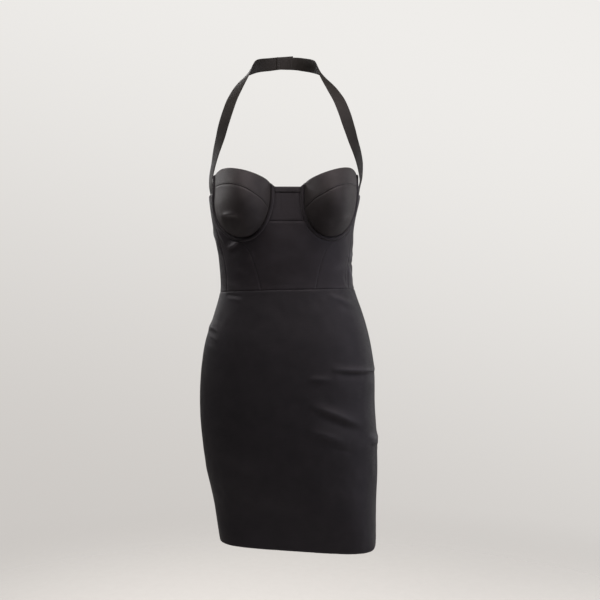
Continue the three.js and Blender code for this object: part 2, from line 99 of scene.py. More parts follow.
for name, place, aim, width, height, watts, colour in (
    ("key_light", (0.15, -0.85, 0.95), (0.0, -0.1, -0.3), 2.2, 0.8, 40, "#fffaf4"),
    ("side_light", (1.9, -0.75, -0.2), (0.0, 0.0, -0.6), 0.5, 1.7, 17, "#f6f8ff"),
    ("right_rim", (1.5, 1.0, -0.3), (0.0, 0.0, -0.6), 0.5, 1.6, 8, "#ffffff"),
    ("left_light", (-1.7, -0.4, 0.1), (0.0, 0.0, -0.35), 0.6, 1.0, 3, "#fffdfb"),
    ("left_rim", (-1.3, 0.7, 0.4), (0.0, 0.0, -0.45), 0.5, 0.8, 9, "#fffdfb"),
    ("back_light", (-0.7, 1.9, 0.7), (0.0, 0.0, -0.4), 1.8, 1.4, 48, "#ffffff"),
):
    light = bpy.data.lights.new(name, "AREA")
    light.shape, light.size, light.size_y = "RECTANGLE", width, height
    light.energy, light.color = watts, linear(colour)[:3]
    lamp = add_object(name, light)
    lamp.location = place
    lamp.rotation_euler = (Vector(aim) - Vector(place)).to_track_quat("-Z", "Y").to_euler()

world = bpy.data.worlds.new("pale room")
bpy.context.scene.world = world
sky = empty_tree(world)
# The room behind is a little lighter towards the top and towards the lit side.
towards = add_node(sky, "ShaderNodeTexCoord")
lit_way = add_node(
    sky, "ShaderNodeVectorMath", {0: towards.outputs["Generated"], 1: (0.3, 0.0, 1.0)},
    operation="DOT_PRODUCT",
)
lit_share = rescale(sky, lit_way.outputs["Value"], (-0.45, 0.4), (0, 1), "SMOOTHSTEP")
room = blend(sky, lit_share, "#cbc7c3", "#efedea")
seen = add_node(sky, "ShaderNodeBackground", {"Color": room, "Strength": 1.0})
cast = add_node(sky, "ShaderNodeBackground", {"Color": linear("#e9e8ea"), "Strength": 0.02})
ray = add_node(sky, "ShaderNodeLightPath")
either = add_node(
    sky, "ShaderNodeMixShader", {0: ray.outputs["Is Camera Ray"], 1: cast.outputs[0], 2: seen.outputs[0]}
)
add_node(sky, "ShaderNodeOutputWorld", {"Surface": either.outputs[0]})

FLOOR_Z, FLOOR_REACH, FLOOR_SIDES = -1.46, 2.4, 96
ring_points = [
    (FLOOR_REACH * math.cos(a), FLOOR_REACH * math.sin(a), FLOOR_Z)
    for a in np.linspace(0, 2 * math.pi, FLOOR_SIDES, endpoint=False)
]
floor_mesh = bpy.data.meshes.new("floor")
floor_mesh.from_pydata(ring_points, [], [range(FLOOR_SIDES)])
floor = add_object("floor", floor_mesh)
painted = bpy.data.materials.new("matt painted floor")
tree = empty_tree(painted)
place_on = add_node(tree, "ShaderNodeTexCoord")
flat_place = add_node(
    tree, "ShaderNodeVectorMath", {0: place_on.outputs["Object"], 1: (1, 1, 0)}, operation="MULTIPLY"
)
from_middle = add_node(tree, "ShaderNodeVectorMath", {0: flat_place.outputs[0]}, operation="LENGTH")
fade = rescale(tree, from_middle.outputs["Value"], (0.5, FLOOR_REACH * 0.98), (0, 1), "SMOOTHSTEP")
speckle = add_node(tree, "ShaderNodeTexNoise", {"Vector": place_on.outputs["Object"], "Scale": 40})
paint_tone = blend(tree, speckle.outputs[0], "#dedad6", "#e4e0dc")
matt = add_node(tree, "ShaderNodeBsdfDiffuse", {"Color": paint_tone})
clear = add_node(tree, "ShaderNodeBsdfTransparent")
faded = add_node(tree, "ShaderNodeMixShader", {0: fade, 1: matt.outputs[0], 2: clear.outputs[0]})
add_node(tree, "ShaderNodeOutputMaterial", {"Surface": faded.outputs[0]})
floor_mesh.materials.append(painted)

# Bodice below the cups
# A centre front, two side fronts, two side panels and two backs, cut from black stretch satin with a
# fused backing. They are seamed upright and lie close on the ribs, down to the seam at the waist.

# Sizes in mm from the waist seam, with the front towards -Y. Each ring is a height, then the ring's
# middle, half its width, its depths ahead and behind, how square it is, how many degrees the front is
# turned towards +X, and how far the +X side is lifted.
BODY_RINGS = (
    (250, -6, 142, 79, 94, 2.3, 4.5, 2.4), (215, -6, 143.5, 84, 97, 2.3, 4.5, 2.4),
    (176, -6.2, 143.2, 88, 99, 2.3, 4.5, 1), (134, -8, 136, 91, 95, 2.3, 4.5, 1),
    (110, -7.5, 132, 92, 90, 2.25, 4.2, 1.5), (88, -5.8, 129.7, 92, 86, 2.2, 3.8, 2),
    (65, -4.7, 126.6, 90.5, 81, 2.2, 3.4, 2), (20, -2.3, 125.2, 88, 76, 2.15, 2.6, 3),
    (0, -1.3, 127, 88, 76.5, 2.15, 2.2, 3), (-48, 0.5, 142, 93, 86, 2.2, 1, 2),
    (-94, -0.5, 155.4, 98.5, 102, 2.2, -0.4, 1), (-150, -0.6, 164, 102, 118, 2.2, -2, 0),
    (-210, -1.4, 165.4, 103.5, 119, 2.3, -3.6, -0.5), (-265, 1.8, 165.4, 103.5, 108, 2.45, -5, -1),
    (-333, 7.4, 161.6, 101.5, 97, 2.6, -6.5, -2), (-402, 14.7, 151.4, 97.5, 93, 3.2, -8.6, -4.9),
    (-466, 21.4, 144.8, 94.4, 91, 4.3, -6, -5),
)
# The large folds: from a place across the front and a height to another, how far each reaches above
# and below its line, how far it stands out, and how far its middle is bowed upwards.
LARGE_FOLDS = (
    (82, -142, 167, -147, 8, 5, 2.2, 0), (90, -153, 167, -158, 6, 7, -1.2, 0),
    (40, -159, 88, -161, 8, 7, 1.4, 0), (44, -202, 142, -242, 10, 8, 2.8, 0),
    (56, -222, 142, -258, 8, 9, -1.6, 0), (42, -248, 118, -275, 11, 10, 2, 0),
    (150, -268, 172, -292, 15, 15, 2.4, 0), (72, -8, 124, -30, 8, 8, 1.6, 0),
    (-158, -70, -128, -60, 8, 8, 1.6, 0), (-110, 124, -78, 121, 6, 18, -3, 0),
    (-112, 137, -80, 135, 7, 5, 1.2, 0),
)
# Fine creases with the same columns, of the bodice's front and then of its back, where the cloth drags
# to the waist and to the zip.
FRONT_CREASES = (
    (-110, 90, -86, 94, 2.5, 2.5, -1.6, 0), (-107, 74, -80, 92, 4.2, 1.6, 3.6, 0),
    (-106, 66, -82, 78, 3, 5, -1.2, 0), (-60, 70, -74, 48, 5, 5, 0.8, 2),
    (-100, 40, -70, 28, 6, 6, 0.6, 2), (-118, 20, -84, 8, 5, 6, 0.7, -2),
    (78, 30, 108, 46, 6, 6, 0.5, 2), (115, 42, 122, 6, 2.5, 4, 3.4, 0),
    (120, 50, 126, 4, 2, 3, -1.6, 0), (111, 46, 130, 50, 3, 3, -2, 0),
    (112, 58, 130, 70, 4, 4, 1.6, 0), (104, 28, 110, 3, 3, 2, -0.7, 0),
    (-132, 142, -112, 84, 1.8, 2.5, 2.4, 0), (-139, 128, -118, 66, 1.8, 2.5, 2.2, 1),
    (-30, 52, 26, 60, 9, 9, 0.4, 2), (-24, 18, 34, 12, 8, 8, 0.35, 2),
)
BACK_CREASES = (
    (-70, 12, -14, 20, 4, 6, 0.9, 3), (-96, 30, -30, 41, 5, 7, -0.8, 4),
    (20, 16, 86, 9, 4, 6, 1, 4), (34, 44, 92, 33, 5, 6, -0.7, 3),
    (-60, 62, -12, 70, 4, 6, 0.6, 2),
)
# A cup's middle and its height there. Round it, how far the wire and the cup's root reach inwards,
# outwards and down. Then how deep the cup is, how soon it ends above, how full it is and how far it
# leans outwards.
CUP_MIDDLE, CUP_ROOT_Z = 79, 165
WIRE_IN, WIRE_OUT, WIRE_DROP = 56, 56, 78
ROOT_IN, ROOT_OUT, ROOT_DROP = 48, 52.5, 70
CUP_DEEP, CUP_FADE, CUP_FULLNESS, CUP_OUTWARD = 55, 90, 0.85, 0.25
# Shares of the wire casing's run, from the neckline beside the gore round to the arm.
GORE_END, CUP_SEAM_IN, GORE_FOOT, FRONT_SEAM = 0.08, 0.147, 0.219, 0.477
SIDE_SEAM, ARM_START, ARM_TOP, CUP_SEAM_OUT = 0.72, 0.84, 0.888, 0.919
# The neckline as places across and heights, and two upright seams as heights and places across.
NECKLINE = (
    (22, 184), (36, 195.5), (52, 202.5), (70, 208.5), (90, 214.5), (108, 218.5), (122, 218.3), (136, 211),
)
FRONT_SEAM_LINE = ((0, 49), (28, 55), (52, 62), (71, 70))
SIDE_SEAM_LINE = ((0, 111.5), (30, 111.5), (58, 114.5), (92, 121.5))
# The seam before the back is at this angle. The open top edge drops by this to the centre back.
BACK_SEAM, BACK_DROP, BACK_POWER = 118, 28, 1.4
CLOTH_THICK = 1.5
HELD_AT = np.array((-5, 79.3, 455.0))  # inside the halter at the nape, the origin of the part


def mix(a, b, share):
    return a + (b - a) * share


def curve(rows, key, at):
    """All the columns of a table where its key column has a value, along smooth curves through its rows."""
    found = np.array(rows, float)
    if found[0, key] > found[-1, key]:
        found = found[::-1]
    keys = found[:, key]
    before, after = np.r_[found[:1], found[:-1]], np.r_[found[1:], found[-1:]]
    slopes = (after - before) / (after[:, key] - before[:, key])[:, None]
    at = np.clip(np.asarray(at, float), keys[0], keys[-1])
    i = np.clip(np.searchsorted(keys, at, side="right") - 1, 0, len(keys) - 2)
    span = (keys[i + 1] - keys[i])[..., None]
    u = (at - keys[i])[..., None] / span
    rise = 3 * u**2 - 2 * u**3
    bend = (u**3 - 2 * u**2 + u) * slopes[i] + (u**3 - u**2) * slopes[i + 1]
    return (1 - rise) * found[i] + rise * found[i + 1] + bend * span


def crease_out(rows, x, z):
    """How far folds move the cloth out at places across the front and heights."""
    out = np.zeros(np.shape(x))
    for x0, z0, x1, z1, above, below, stands, bow in rows:
        dx, dz = x1 - x0, z1 - z0
        long = math.hypot(dx, dz)
        along = np.clip(((x - x0) * dx + (z - z0) * dz) / long**2, 0, 1)
        off = ((z - z0) * dx - (x - x0) * dz) / long - bow * 4 * along * (1 - along)
        reach = np.where(off * np.sign(dx) > 0, above, below)
        out += stands * np.sin(np.pi * along) ** 0.8 * np.exp(-((off / reach) ** 2))
    return out


def cup_depth(x, z):
    across = np.abs(x) - CUP_MIDDLE
    p = across / np.where(across < 0, ROOT_IN, ROOT_OUT)
    q = np.maximum(0, (CUP_ROOT_Z - z) / ROOT_DROP)
    inside = np.maximum(0, 1 - p * p - q * q)
    above = np.maximum(0, (z - CUP_ROOT_Z) / CUP_FADE)
    return CUP_DEEP * inside**CUP_FULLNESS * (1 - above**2) * (1 + CUP_OUTWARD * p)


def surface(angle, z, cups=True):
    """Places on the worn cloth's outer face, at angles round from the centre front and heights."""
    angle, z = np.broadcast_arrays(np.asarray(angle, float), np.asarray(z, float))
    _, middle, half, ahead, behind, square, turn, rise = np.moveaxis(curve(BODY_RINGS, 0, z), -1, 0)
    side = np.sin(np.radians(angle))
    front = np.abs(angle) <= 90
    x = half * side
    flat = np.maximum(0, 1 - np.abs(side) ** square) ** (1 / square)
    fold = np.where(front, crease_out(LARGE_FOLDS, x, z), 0)
    depth = cup_depth(x, z) if cups else 0
    y = np.where(front, -ahead * flat - depth, behind * flat)
    look_x, look_y = x / half**2, y / np.where(front, ahead, behind) ** 2
    size = np.maximum(np.hypot(look_x, look_y), 1e-9)
    x, y = x + fold * look_x / size, y + fold * look_y / size
    c, s = np.cos(np.radians(turn)), np.sin(np.radians(turn))
    return np.stack([middle + x * c - y * s, x * s + y * c, z + rise * side], axis=-1)


def unit(vectors):
    return vectors / np.maximum(np.linalg.norm(vectors, axis=-1, keepdims=True), 1e-12)


def outward(angle, z, cups=True):
    """Where the surface faces. Without the cups, it is where the ribs face."""
    round_it = surface(angle + 0.7, z, cups) - surface(angle - 0.7, z, cups)
    up = surface(angle, z + 1, cups) - surface(angle, z - 1, cups)
    return unit(np.cross(round_it, up))


def on_front(x, z):
    """A place across the front and a height, as an angle round from the centre front and a height."""
    half = curve(BODY_RINGS, 0, z)[..., 2]
    return np.degrees(np.arcsin(np.clip(x / half, -1, 1))), np.asarray(z, float) + 0 * x


def casing_line(along, across):
    """Across the front and up, along the wire casing's outer edge (0) or its inner edge (1)."""
    along = np.asarray(along, float)
    reach_in, reach_out = mix(WIRE_IN, ROOT_IN, across), mix(WIRE_OUT, ROOT_OUT, across)
    drop = mix(WIRE_DROP, ROOT_DROP, across)
    turned = np.pi * np.clip((along - GORE_END) / (ARM_START - GORE_END), 0, 1)
    x = CUP_MIDDLE - np.where(turned < np.pi / 2, reach_in, reach_out) * np.cos(turned)
    z = CUP_ROOT_Z - drop * np.sin(turned)
    top = curve(NECKLINE, 0, x)[..., 1]
    z = np.where(along < GORE_END, mix(top, CUP_ROOT_Z, along / GORE_END), z)
    arm_share = (along - ARM_START) / (1 - ARM_START)
    z = np.where(along > ARM_START, mix(CUP_ROOT_Z, top, arm_share), z)
    return x, z


def casing_edge(start, end, across):
    return lambda share: on_front(*casing_line(mix(start, end, share), across))


def between(top, foot, left, right):
    """A panel's place function from its four edges, each a function of the share run along it."""

    def place(s, t):
        edges = top(s), foot(s), left(t), right(t), top(0.0), top(1.0), foot(0.0), foot(1.0)
        found = []
        for above, below, before, after, *ends in zip(*edges):
            corners = mix(mix(ends[0], ends[1], s), mix(ends[2], ends[3], s), t)
            found.append(mix(above, below, t) + mix(before, after, s) - corners)
        return found

    return place


def mirrored(place):
    def other(s, t):
        angle, z = place(1 - s, t)
        return -angle, z

    return other


TURNED_ROWS = np.array((0.35, 0.9, 1.7, 2.8, 4.3))  # mm in from an edge, where cloth turns into a seam


def shares(length, step, breaks=(0, 1)):
    """Shares of a run of some mm, close together at its ends, with one at each break."""
    steps = [
        np.linspace(a, b, max(1, round((b - a) * length / step)) + 1) for a, b in zip(breaks, breaks[1:])
    ]
    ends = TURNED_ROWS / length
    clear_of = 1.15 * ends[-1]
    inner = [s for s in np.unique(np.concatenate(steps).round(6)) if clear_of < s < 1 - clear_of]
    return np.array([0, *ends, *inner, *(1 - ends[::-1]), 1])


def in_metres(points):
    """Places in mm as places in metres from where the halter is held."""
    return ((points - HELD_AT) / 1000).tolist()


def write(mesh, name, values):
    """Gives each point of a mesh a value or a vector, for nodes to read."""
    values = np.asarray(values, np.float32)
    kind, field = ("FLOAT", "value") if values.ndim == 1 else ("FLOAT_VECTOR", "vector")
    mesh.attributes.new(name, kind, "POINT").data.foreach_set(field, values.ravel())


def closed_wall(name, outer, inner, weave, drawn):
    """A closed mesh object from two grids of places in mm that face each other, the first one outside."""
    rows, columns = outer.shape[:2]
    number = np.arange(2 * rows * columns).reshape(2, rows, columns)
    out, back = number

    def quads(a, b, c, d):
        return np.stack([a, b, c, d], axis=-1).reshape(-1, 4)

    faces = [
        quads(out[:-1, :-1], out[1:, :-1], out[1:, 1:], out[:-1, 1:]),
        quads(back[:-1, :-1], back[:-1, 1:], back[1:, 1:], back[1:, :-1]),
        quads(back[:-1, 0], back[1:, 0], out[1:, 0], out[:-1, 0]),
        quads(out[:-1, -1], out[1:, -1], back[1:, -1], back[:-1, -1]),
        quads(out[0, :-1], out[0, 1:], back[0, 1:], back[0, :-1]),
        quads(back[-1, :-1], back[-1, 1:], out[-1, 1:], out[-1, :-1]),
    ]
    points = np.concatenate([outer.reshape(-1, 3), inner.reshape(-1, 3)])
    mesh = bpy.data.meshes.new(name)
    mesh.from_pydata(in_metres(points), [], np.concatenate(faces).tolist())
    mesh.shade_smooth()
    mesh.set_sharp_from_angle(angle=math.radians(50))
    write(mesh, "weave_mm", np.concatenate([weave, weave]))
    write(mesh, "drawn", np.r_[drawn.ravel(), 0 * drawn.ravel()])
    return add_object(name, mesh)


def waver(run, longest, phase):
    """A smooth uneven wave along a run in mm, between about -1 and 1."""
    parts = ((1, 0.0, 0.5), (1.63, 1.9, 0.3), (2.71, 4.1, 0.2))
    return sum(share * np.sin(2 * np.pi * run * rate / longest + late + phase) for rate, late, share in parts)


def move_border(points, by, inner, measured):
    """Moves a grid's border out along the cloth, away from the line that is some steps further in."""
    for grid, held in ((points.swapaxes(0, 1), measured.swapaxes(0, 1)), (points, measured)):
        grid[0] += by * unit(held[0] - held[inner])
        grid[-1] += by * unit(held[-1] - held[-1 - inner])


# How sewn cloth lies, in mm: how deep a seam is drawn in and how far beside it that shows, the gap
# between panels, the lap of their turnings, and how far a cup's edge lies behind and under its casing.
SEAM_DEEP, SEAM_REACH, SEAM_GAP, TURNING_LAP = 0.8, 1.3, 0.07, 0.5
TUCK_BEHIND, TUCK_UNDER, TUCK_REACH = 2.3, 1.6, 2.4
RIB_RADIUS = 135  # gives the weave its mm round the body


class Cloth:
    """A sewn panel: its object, and its outer face as a grid of places in mm with their directions."""

    def __init__(
        self, name, place, across, down, cups=False, face=0, back=-CLOTH_THICK,
        free=(), tucked=(), creases=(), phase=0.0, grain=0.0, pucker=0.16, swell=0.45, deep=(),
    ):
        s, t = np.meshgrid(across, down)
        angle, z = place(s, t)
        self.points, self.looks = surface(angle, z), outward(angle, z, cups)
        self.runs = runs = self.measure()
        # Two panels only nearly touch at their seam, and inside, their turnings lap and close it.
        move_border(self.points, -SEAM_GAP, 1, self.points.copy())
        sine, past = np.sin(np.radians(angle)), np.abs(angle) > 90
        if past.any() and not past.all():
            # Round the side, places keep counting outwards, so that no crease comes out twice.
            sine = np.where(past, 2 * np.sign(sine) - sine, sine)
        fine = crease_out(creases, curve(BODY_RINGS, 0, z)[..., 2] * sine, z)
        seams = {side: run for side, run in runs.items() if side not in (*free, *tucked)}
        near = np.min(list(seams.values()), axis=0) if seams else np.full(z.shape, 99.0)
        # A seam is drawn in unevenly, and not at a tucked edge. Its turnings stand out a little beside it.
        along = runs["left"] + runs["top"] * 1.31
        tight = 1 + 0.3 * waver(along, 74, phase + 1)
        for side in tucked:
            tight = tight * (1 - np.exp(-((runs[side] / 5) ** 2)))
        dips = [
            dict(deep).get(side, SEAM_DEEP) * tight * np.exp(-((run / SEAM_REACH) ** 2))
            for side, run in seams.items()
        ]
        seam = 0.1 * np.exp(-(((near - 4.5) / 2.5) ** 2)) - (np.max(dips, axis=0) if dips else 0)
        # Small puckers lie beside the seams, and broad swells away from them.
        small = pucker * waver(along, 11.3, phase) * np.exp(-near / 5)
        broad = swell * waver(angle * 2.2 + z * 0.21, 61, phase)
        broad = broad * waver(z * 0.9 - angle * 0.35, 83, phase + 2)
        lift = face(s, t) if callable(face) else face
        shape = lift + fine + small + broad * (1 - np.exp(-near / 9))
        outer, inner = shape + seam, shape - lift + (back(s, t, z) if callable(back) else back)
        for side in free:
            # A free edge is folded in, which rounds it.
            rounding = 0.5 * np.exp(-((runs[side] / 0.7) ** 2))
            outer, inner = outer - rounding, inner + rounding
        ribs = outward(angle, z, False)
        over, under = unit(np.gradient(self.points, axis=1)), unit(np.gradient(self.points, axis=0))
        towards = {"left": -over, "right": over, "top": -under, "foot": under}
        for side in tucked:
            sink = np.exp(-((runs[side] / TUCK_REACH) ** 2))[..., None]
            self.points = self.points - ribs * TUCK_BEHIND * sink + towards[side] * TUCK_UNDER * sink
        self.outer = self.points + self.looks * outer[..., None]
        self.inside = self.points + self.looks * inner[..., None]
        move_border(self.inside, TURNING_LAP, 2, self.inside)
        u, v = np.radians(angle) * RIB_RADIUS, -z
        c, n = math.cos(math.radians(grain)), math.sin(math.radians(grain))
        weave = np.stack([u * c - v * n, u * n + v * c, near], axis=-1).reshape(-1, 3)
        self.object = closed_wall(name, self.outer, self.inside, weave, np.clip(fine / 3, 0, 1))

    def measure(self):
        """How far each place is from each of the four edges, along the cloth."""
        over = np.linalg.norm(np.diff(self.points, axis=1), axis=-1)
        down = np.linalg.norm(np.diff(self.points, axis=0), axis=-1)
        left = np.pad(np.cumsum(over, axis=1), ((0, 0), (1, 0)))
        top = np.pad(np.cumsum(down, axis=0), ((1, 0), (0, 0)))
        return {"top": top, "foot": top[-1:] - top, "left": left, "right": left[:, -1:] - left}

    def beside(self, side, distance, proud=0.05, inner=False):
        """A line on the outer or the inner face at a distance in mm from one of its edges."""
        upright, way = {"top": (0, 1), "foot": (0, -1), "left": (1, 1), "right": (1, -1)}[side]
        run = self.runs[side]
        raised = self.inside - self.looks * proud if inner else self.outer + self.looks * proud
        if upright:
            run, raised = run.T, raised.swapaxes(0, 1)
        run, raised = run[::way], raised[::way]
        line = []
        for j in range(run.shape[1]):
            line.append([np.interp(distance, run[:, j], raised[:, j, k]) for k in range(3)])
        return np.array(line)


# The real floats are about 0.15 mm apart, drawn coarser so that they show.
FLOAT_MM = 0.75


def satin(name, deep, worn_and_sheen, rough, shine, sheen, relief=1.0):
    """Black stretch satin: smooth long floats that catch a broad soft light, over a fine twill."""
    made = bpy.data.materials.new(name)
    tree = empty_tree(made)

    def calc(operation, *values):
        return add_node(tree, "ShaderNodeMath", dict(enumerate(values)), operation=operation).outputs[0]

    place = add_node(tree, "ShaderNodeTexCoord").outputs["Object"]
    cloth_mm = add_node(tree, "ShaderNodeAttribute", attribute_name="weave_mm").outputs["Vector"]
    round_mm, down_mm, from_seam = add_node(tree, "ShaderNodeSeparateXYZ", {0: cloth_mm}).outputs
    # Dye and handling leave tones about 30 mm across.
    cloud = add_node(
        tree, "ShaderNodeTexNoise", {"Vector": place, "Scale": 1000 / 30, "Detail": 3, "Roughness": 0.55}
    )
    shade = rescale(tree, cloud.outputs[0], (0.3, 0.7), (0, 0.75))
    # Pressing wears the turned cloth in the first 3 mm beside a seam, and its shine there is painted in as a
    # lighter tone.
    lighter = calc("MULTIPLY_ADD", rescale(tree, from_seam, (0.8, 3.4), (1, 0)), 0.2, shade)
    # The twill's fine diagonal ribs are crossed by the weft.
    twill = calc("SINE", calc("MULTIPLY", calc("ADD", round_mm, down_mm), 2 * math.pi / FLOAT_MM))
    weft = calc("SINE", calc("MULTIPLY", down_mm, 2 * math.pi / (FLOAT_MM * 0.62)))
    weave = calc("MULTIPLY_ADD", weft, 0.55, twill)
    weave_bump = add_node(
        tree, "ShaderNodeBump", {"Strength": 0.22 * relief, "Distance": 0.00012, "Height": weave}
    )
    # Uneven yarns, drawn out round the body, break the sheen into faint streaks.
    drawn_out = add_node(tree, "ShaderNodeVectorMath", {0: cloth_mm, 1: (0.05, 0.9, 0)}, operation="MULTIPLY")
    yarns = add_node(
        tree, "ShaderNodeTexNoise", {"Vector": drawn_out.outputs[0], "Scale": 1.0, "Detail": 2}
    ).outputs[0]
    gloss = rescale(tree, yarns, (0.25, 0.75), (rough - 0.05, rough + 0.06))
    yarn_bump = add_node(
        tree, "ShaderNodeBump",
        {"Strength": 0.18 * relief, "Distance": 0.0004, "Height": yarns, "Normal": weave_bump.outputs[0]},
    )
    # Cloth drawn tight over a crease lies smoother, and glints.
    drawn = add_node(tree, "ShaderNodeAttribute", attribute_name="drawn").outputs["Fac"]

    shader = add_node(
        tree, "ShaderNodeBsdfPrincipled",
        {
            "Base Color": blend(tree, lighter, deep, worn_and_sheen), "IOR": 1.5,
            "Roughness": calc("MULTIPLY_ADD", drawn, -0.2, gloss), "Specular Tint": linear("#f1e7f3"),
            "Specular IOR Level": rescale(tree, drawn, (0, 1), (shine, shine + 0.4)),
            "Sheen Weight": sheen, "Sheen Roughness": 0.42, "Sheen Tint": linear("#c9c3bf"),
            "Normal": yarn_bump.outputs[0],
        },
    )
    add_node(tree, "ShaderNodeOutputMaterial", {"Surface": shader.outputs[0]})
    return made


bodice_satin = satin("black stretch satin, bodice", "#191619", "#201d21", rough=0.6, shine=0.34, sheen=0.06)
UNDER_CUP, UNDER_GORE = 12, 4  # shares of the centre front's top edge
TOP_RUN = 2 * UNDER_CUP + UNDER_GORE


def under_gore(share):
    """The centre front's top edge: under one cup, across the gore's foot and under the other cup."""
    run = (share - 0.5) * TOP_RUN
    past_gore = np.clip((np.abs(run) - UNDER_GORE / 2) / UNDER_CUP, 0, 1)
    x, z = casing_line(mix(GORE_FOOT, FRONT_SEAM, past_gore), 0)
    return on_front(x * np.clip(run / (UNDER_GORE / 2), -1, 1), z)


def seam_edge(rows, top_share, side=1):
    """An upright seam, from the casing's outer edge down to the waist."""
    top_x, top_z = (float(v) for v in casing_line(top_share, 0))
    line = [*rows, (top_z, top_x)]

    def edge(share):
        z = mix(top_z, 0, share)
        return on_front(side * curve(line, 0, z)[..., 1], z)

    return edge


def waist_edge(start, end):
    return lambda share: on_front(mix(start, end, share), 0 * share)


ARM_ANGLE, ARM_Z = (float(v) for v in on_front(*casing_line(ARM_TOP, 0)))


def back_top(angle):
    """The open top edge, which dips from the arm to the centre back."""
    return angle, ARM_Z - BACK_DROP * ((angle - ARM_ANGLE) / (180 - ARM_ANGLE)) ** BACK_POWER


front_seam_edge = seam_edge(FRONT_SEAM_LINE, FRONT_SEAM)
side_seam_edge = seam_edge(SIDE_SEAM_LINE, SIDE_SEAM)


def side_edge(share):
    """The side panel's front edge: down the casing beside the cup, then down the side seam."""
    over = casing_edge(ARM_TOP, SIDE_SEAM, 0)(np.clip(2 * share, 0, 1))
    under = side_seam_edge(np.clip(2 * share - 1, 0, 1))
    return [np.where(share < 0.5, *pair) for pair in zip(over, under)]


def upright(angle):
    return lambda share: (angle + 0 * share, mix(back_top(angle)[1], 0, share))


WAIST_FRONT, WAIST_SIDE = FRONT_SEAM_LINE[0][1], SIDE_SEAM_LINE[0][1]
centre_place = between(
    under_gore, waist_edge(-WAIST_FRONT, WAIST_FRONT), seam_edge(FRONT_SEAM_LINE, FRONT_SEAM, -1),
    front_seam_edge,
)
side_front_place = between(
    casing_edge(FRONT_SEAM, SIDE_SEAM, 0), waist_edge(WAIST_FRONT, WAIST_SIDE), front_seam_edge,
    side_seam_edge,
)
waist_angle = float(on_front(WAIST_SIDE, 0)[0])
side_place = between(
    lambda s: back_top(mix(ARM_ANGLE, BACK_SEAM, s)), lambda s: (mix(waist_angle, BACK_SEAM, s), 0 * s),
    side_edge, upright(BACK_SEAM),
)
back_place = between(
    lambda s: back_top(mix(BACK_SEAM, 180, s)), lambda s: (mix(BACK_SEAM, 180, s), 0 * s),
    upright(BACK_SEAM), upright(180),
)

cloths = {}


def sewn(name, material, *args, slot_name="bodice_cloth", **options):
    """Makes a panel that stands for its CAD node."""
    made = cloths[name] = Cloth(f"{name}_cloth", *args, **options)
    made.object.data.materials.append(material)
    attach(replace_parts(made.object, name), "dress")
    return made


gore_breaks = (0, UNDER_CUP / TOP_RUN, 1 - UNDER_CUP / TOP_RUN, 1)
panel = sewn(
    "centre_front", bodice_satin, centre_place, shares(150, 1.9, gore_breaks),
    shares(95, 1.9), creases=FRONT_CREASES, phase=0.4, deep={"top": 0.35, "left": 0.55, "right": 0.4},
)
SIDES = (("left", 1, lambda place: place), ("right", -1, mirrored))
for side, way, turned in SIDES:
    panel = sewn(
        f"side_front_{side}", bodice_satin, turned(side_front_place),
        shares(70, 1.9), shares(88, 1.9), creases=FRONT_CREASES, phase=1.7 * way, grain=4 * way,
        deep={"left": 0.4, "right": 0.5} if way > 0 else {"left": 0.5, "right": 0.55},
    )
    panel = sewn(
        f"side_panel_{side}", bodice_satin, turned(side_place),
        shares(110, 2.1), shares(180, 2.1, (0, 0.5, 1)), free=("top",), creases=FRONT_CREASES,
        phase=2.9 * way, grain=-3 * way,
    )
    panel = sewn(
        f"back_{side}", bodice_satin, turned(back_place),
        shares(90, 2.1), shares(160, 2.1), free=("top",), creases=BACK_CREASES, phase=0.9 * way,
    )

# Wire casings
# A narrow tunnel of the same satin lies round the foot of each cup, from the neckline beside the gore
# to the arm. It is folded under and sewn down along both edges, and the wire inside keeps it domed.
casing_satin = satin("black stretch satin, casing", "#191619", "#232023", rough=0.56, shine=0.34, sheen=0.06)


def casing_place(s, t):
    return on_front(*casing_line(s, 1 - t))


def casing_dome(s, t):
    return 0.35 + 1.45 * np.sin(np.pi * np.clip((t - 0.12) / 0.76, 0, 1)) ** 0.8


# Rows of stitches as nodes: each is a short rounded bead of thread, laid the way its row says.
stitch_rows = tree = bpy.data.node_groups.new("running stitches", "GeometryNodeTree")
for name, kind in (
    ("Rows", "Geometry"), ("Pitch", "Float"), ("Long", "Float"), ("Wide", "Float"), ("Thread", "Material"),
):
    tree.interface.new_socket(name, in_out="INPUT", socket_type=f"NodeSocket{kind}")
tree.interface.new_socket("Stitches", in_out="OUTPUT", socket_type="NodeSocketGeometry")
given = add_node(tree, "NodeGroupInput").outputs
line = add_node(tree, "GeometryNodeMeshToCurve", {0: given["Rows"]})
spaced = add_node(
    tree, "GeometryNodeResampleCurve", {"Curve": line.outputs[0], "Length": given["Pitch"]}, mode="LENGTH"
)
lie = add_node(tree, "GeometryNodeInputNamedAttribute", {"Name": "lie"}, data_type="FLOAT_VECTOR")
turn = add_node(tree, "FunctionNodeAlignRotationToVector", {"Vector": lie.outputs[0]}, axis="X")
size = add_node(tree, "ShaderNodeCombineXYZ", {0: given["Long"], 1: given["Wide"], 2: given["Wide"]})
bead = add_node(tree, "GeometryNodeMeshUVSphere", {"Segments": 6, "Rings": 4, "Radius": 0.5})
round_bead = add_node(tree, "GeometryNodeSetShadeSmooth", {0: bead.outputs[0]})
beads = add_node(
    tree, "GeometryNodeInstanceOnPoints",
    {
        "Points": spaced.outputs[0], "Instance": round_bead.outputs[0],
        "Rotation": turn.outputs[0], "Scale": size.outputs[0],
    },
)
real = add_node(tree, "GeometryNodeRealizeInstances", {0: beads.outputs[0]})
done = add_node(tree, "GeometryNodeSetMaterial", {0: real.outputs[0], "Material": given["Thread"]})
add_node(tree, "NodeGroupOutput", {0: done.outputs[0]})


